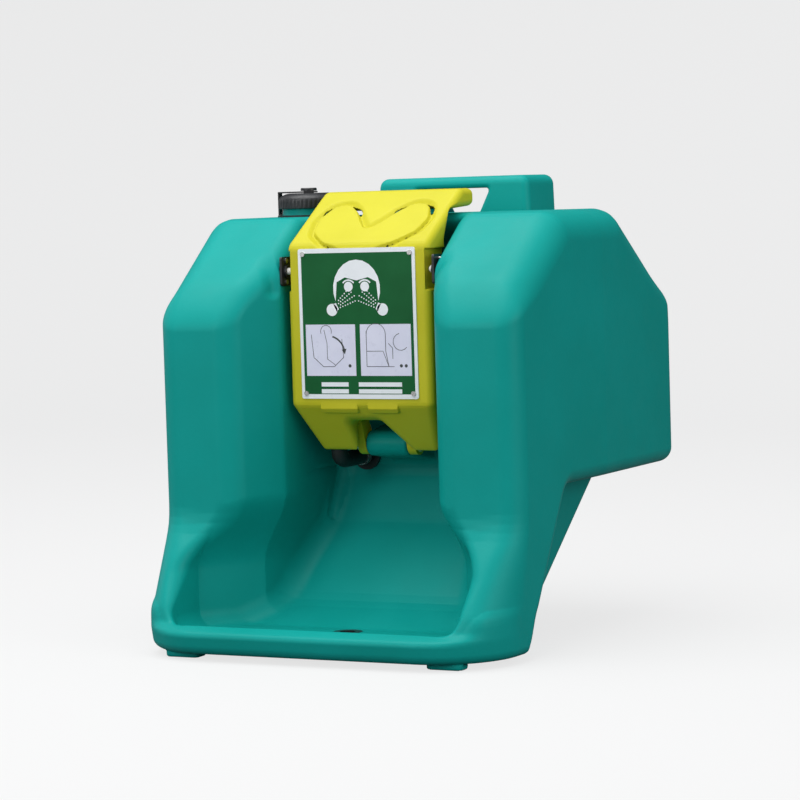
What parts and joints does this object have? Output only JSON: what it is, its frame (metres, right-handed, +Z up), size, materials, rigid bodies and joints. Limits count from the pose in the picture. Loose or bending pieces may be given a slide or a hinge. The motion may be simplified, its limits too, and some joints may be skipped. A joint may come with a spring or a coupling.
{
  "type": "portable gravity-fed eyewash station",
  "caption": "Teal moulded gravity-fed eyewash tank with a basin and a yellow pull-down spray arm.",
  "frame": {"origin": "middle of the floor plane under the overall box", "axes": "+X to the viewer's right in front of it, -Y out of the front with the basin, +Z up"},
  "size_m": [0.54, 0.618, 0.608],
  "materials": {
    "teal_polyethylene": "rotomoulded polyethylene, satin, self-coloured teal green",
    "yellow_polyethylene": "rotomoulded polyethylene, satin, yellow",
    "black_plastic": "moulded, fine grain",
    "black_rubber": "matt",
    "white_acetal": "machined, satin",
    "white_pvc": "extruded pipe",
    "green_plastic": "moulded",
    "stainless": "brushed",
    "brass": "turned",
    "sign_face": "printed aluminium plate, satin"
  },
  "bodies": {
    "root": {"tank_body": "teal_polyethylene", "tether_ring": "black_rubber", "tether_strap": "black_rubber", "pivot_pin": "stainless", "pivot_washer": "stainless", "pivot_retaining_ring": "stainless", "catch_plate_left": "black_plastic", "catch_plate_right": "black_plastic", "catch_spring_left": "stainless", "catch_spring_right": "stainless", "catch_screws": "stainless", "outlet_gasket": "black_rubber", "outlet_fitting": "black_plastic", "outlet_nut": "black_plastic", "supply_hose": "black_rubber", "outlet_clamp": "stainless", "drain_gasket": "black_rubber", "drain_fitting": "black_plastic", "drain_nut": "black_plastic", "wall_inserts": "brass"},
    "arm": {"arm_front_shell": "yellow_polyethylene", "arm_back_tray": "yellow_polyethylene", "pivot_bushes": "white_acetal", "sign_plate": "sign_face", "sign_screws": "stainless", "manifold_pipe": "white_pvc", "pipe_clips": "black_plastic", "nozzle_left": "green_plastic", "nozzle_right": "green_plastic", "spray_disc_left": "stainless", "spray_disc_right": "stainless", "manifold_clamp": "stainless"},
    "cap_seal": {"cap_gasket": "black_rubber"},
    "cap": {"filler_cap": "black_plastic", "vent_plug": "black_plastic"},
    "bullet_left": {"catch_bullet_left": "white_acetal"},
    "bullet_right": {"catch_bullet_right": "white_acetal"}
  },
  "joints": [
    {"name": "arm_pull_down", "type": "hinge", "parent": "root", "child": "arm", "pos_m": [0, -0.036, 0.258], "axis": [1, 0, 0], "range_deg": [0, 90], "deforming": ["supply_hose"]},
    {"name": "cap_rise", "type": "slide", "parent": "root", "child": "cap_seal", "axis": [0, 0, 1], "range_m": [0, 0.012], "deforming": ["tether_strap"]},
    {"name": "cap_turn", "type": "hinge", "parent": "cap_seal", "child": "cap", "pos_m": [-0.151, 0.034, 0.57], "axis": [0, 0, 1], "range_deg": [0, 720]},
    {"name": "catch_left", "type": "slide", "parent": "root", "child": "bullet_left", "axis": [-1, 0, 0], "range_m": [0, 0.004], "stiffness_N_per_m": 600, "deforming": ["catch_spring_left"]},
    {"name": "catch_right", "type": "slide", "parent": "root", "child": "bullet_right", "axis": [1, 0, 0], "range_m": [0, 0.004], "stiffness_N_per_m": 600, "deforming": ["catch_spring_right"]}
  ],
  "couplings": [
    {"joint": "cap_turn", "follows": "cap_rise", "rad_per_m": 1047.2}
  ]
}
